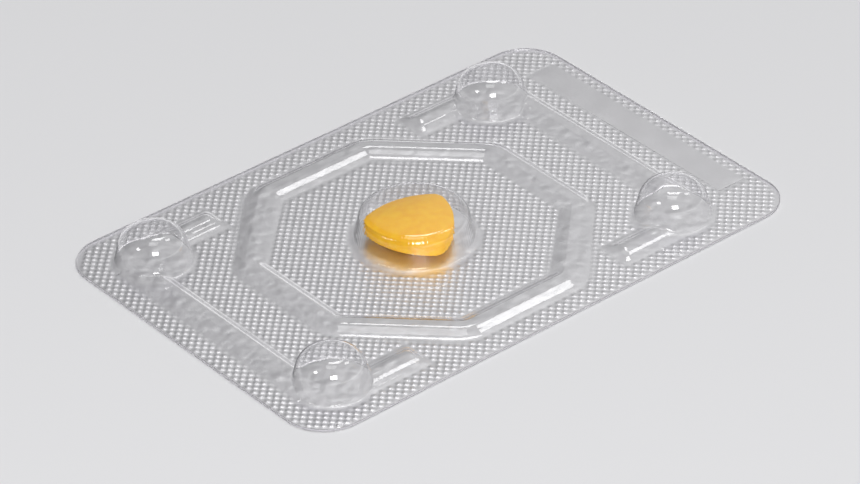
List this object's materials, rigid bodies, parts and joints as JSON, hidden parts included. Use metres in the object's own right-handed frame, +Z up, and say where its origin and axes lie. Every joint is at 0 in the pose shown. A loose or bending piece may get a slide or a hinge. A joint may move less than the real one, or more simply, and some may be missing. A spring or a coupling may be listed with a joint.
{
  "type": "pill blister pack",
  "caption": "Clear formed film card with a round pocket, ridge ring and corner domes, sealed to a foil with a loose three-cornered tablet inside.",
  "frame": {"origin": "middle of the card on the foil's flat underside", "axes": "+X along the card towards its coding strip, +Z up out of the foil towards the formed pocket"},
  "size_m": [0.075, 0.05, 0.0048],
  "materials": {
    "clear_film": "clear, smooth and glossy",
    "foil": "bright foil with a fine knurled heat seal",
    "tablet_coat": "smooth film coat with a soft sheen"
  },
  "bodies": {
    "root": {"blister_film": "clear_film", "lidding_foil": "foil", "tablet": "tablet_coat"}
  },
  "joints": []
}
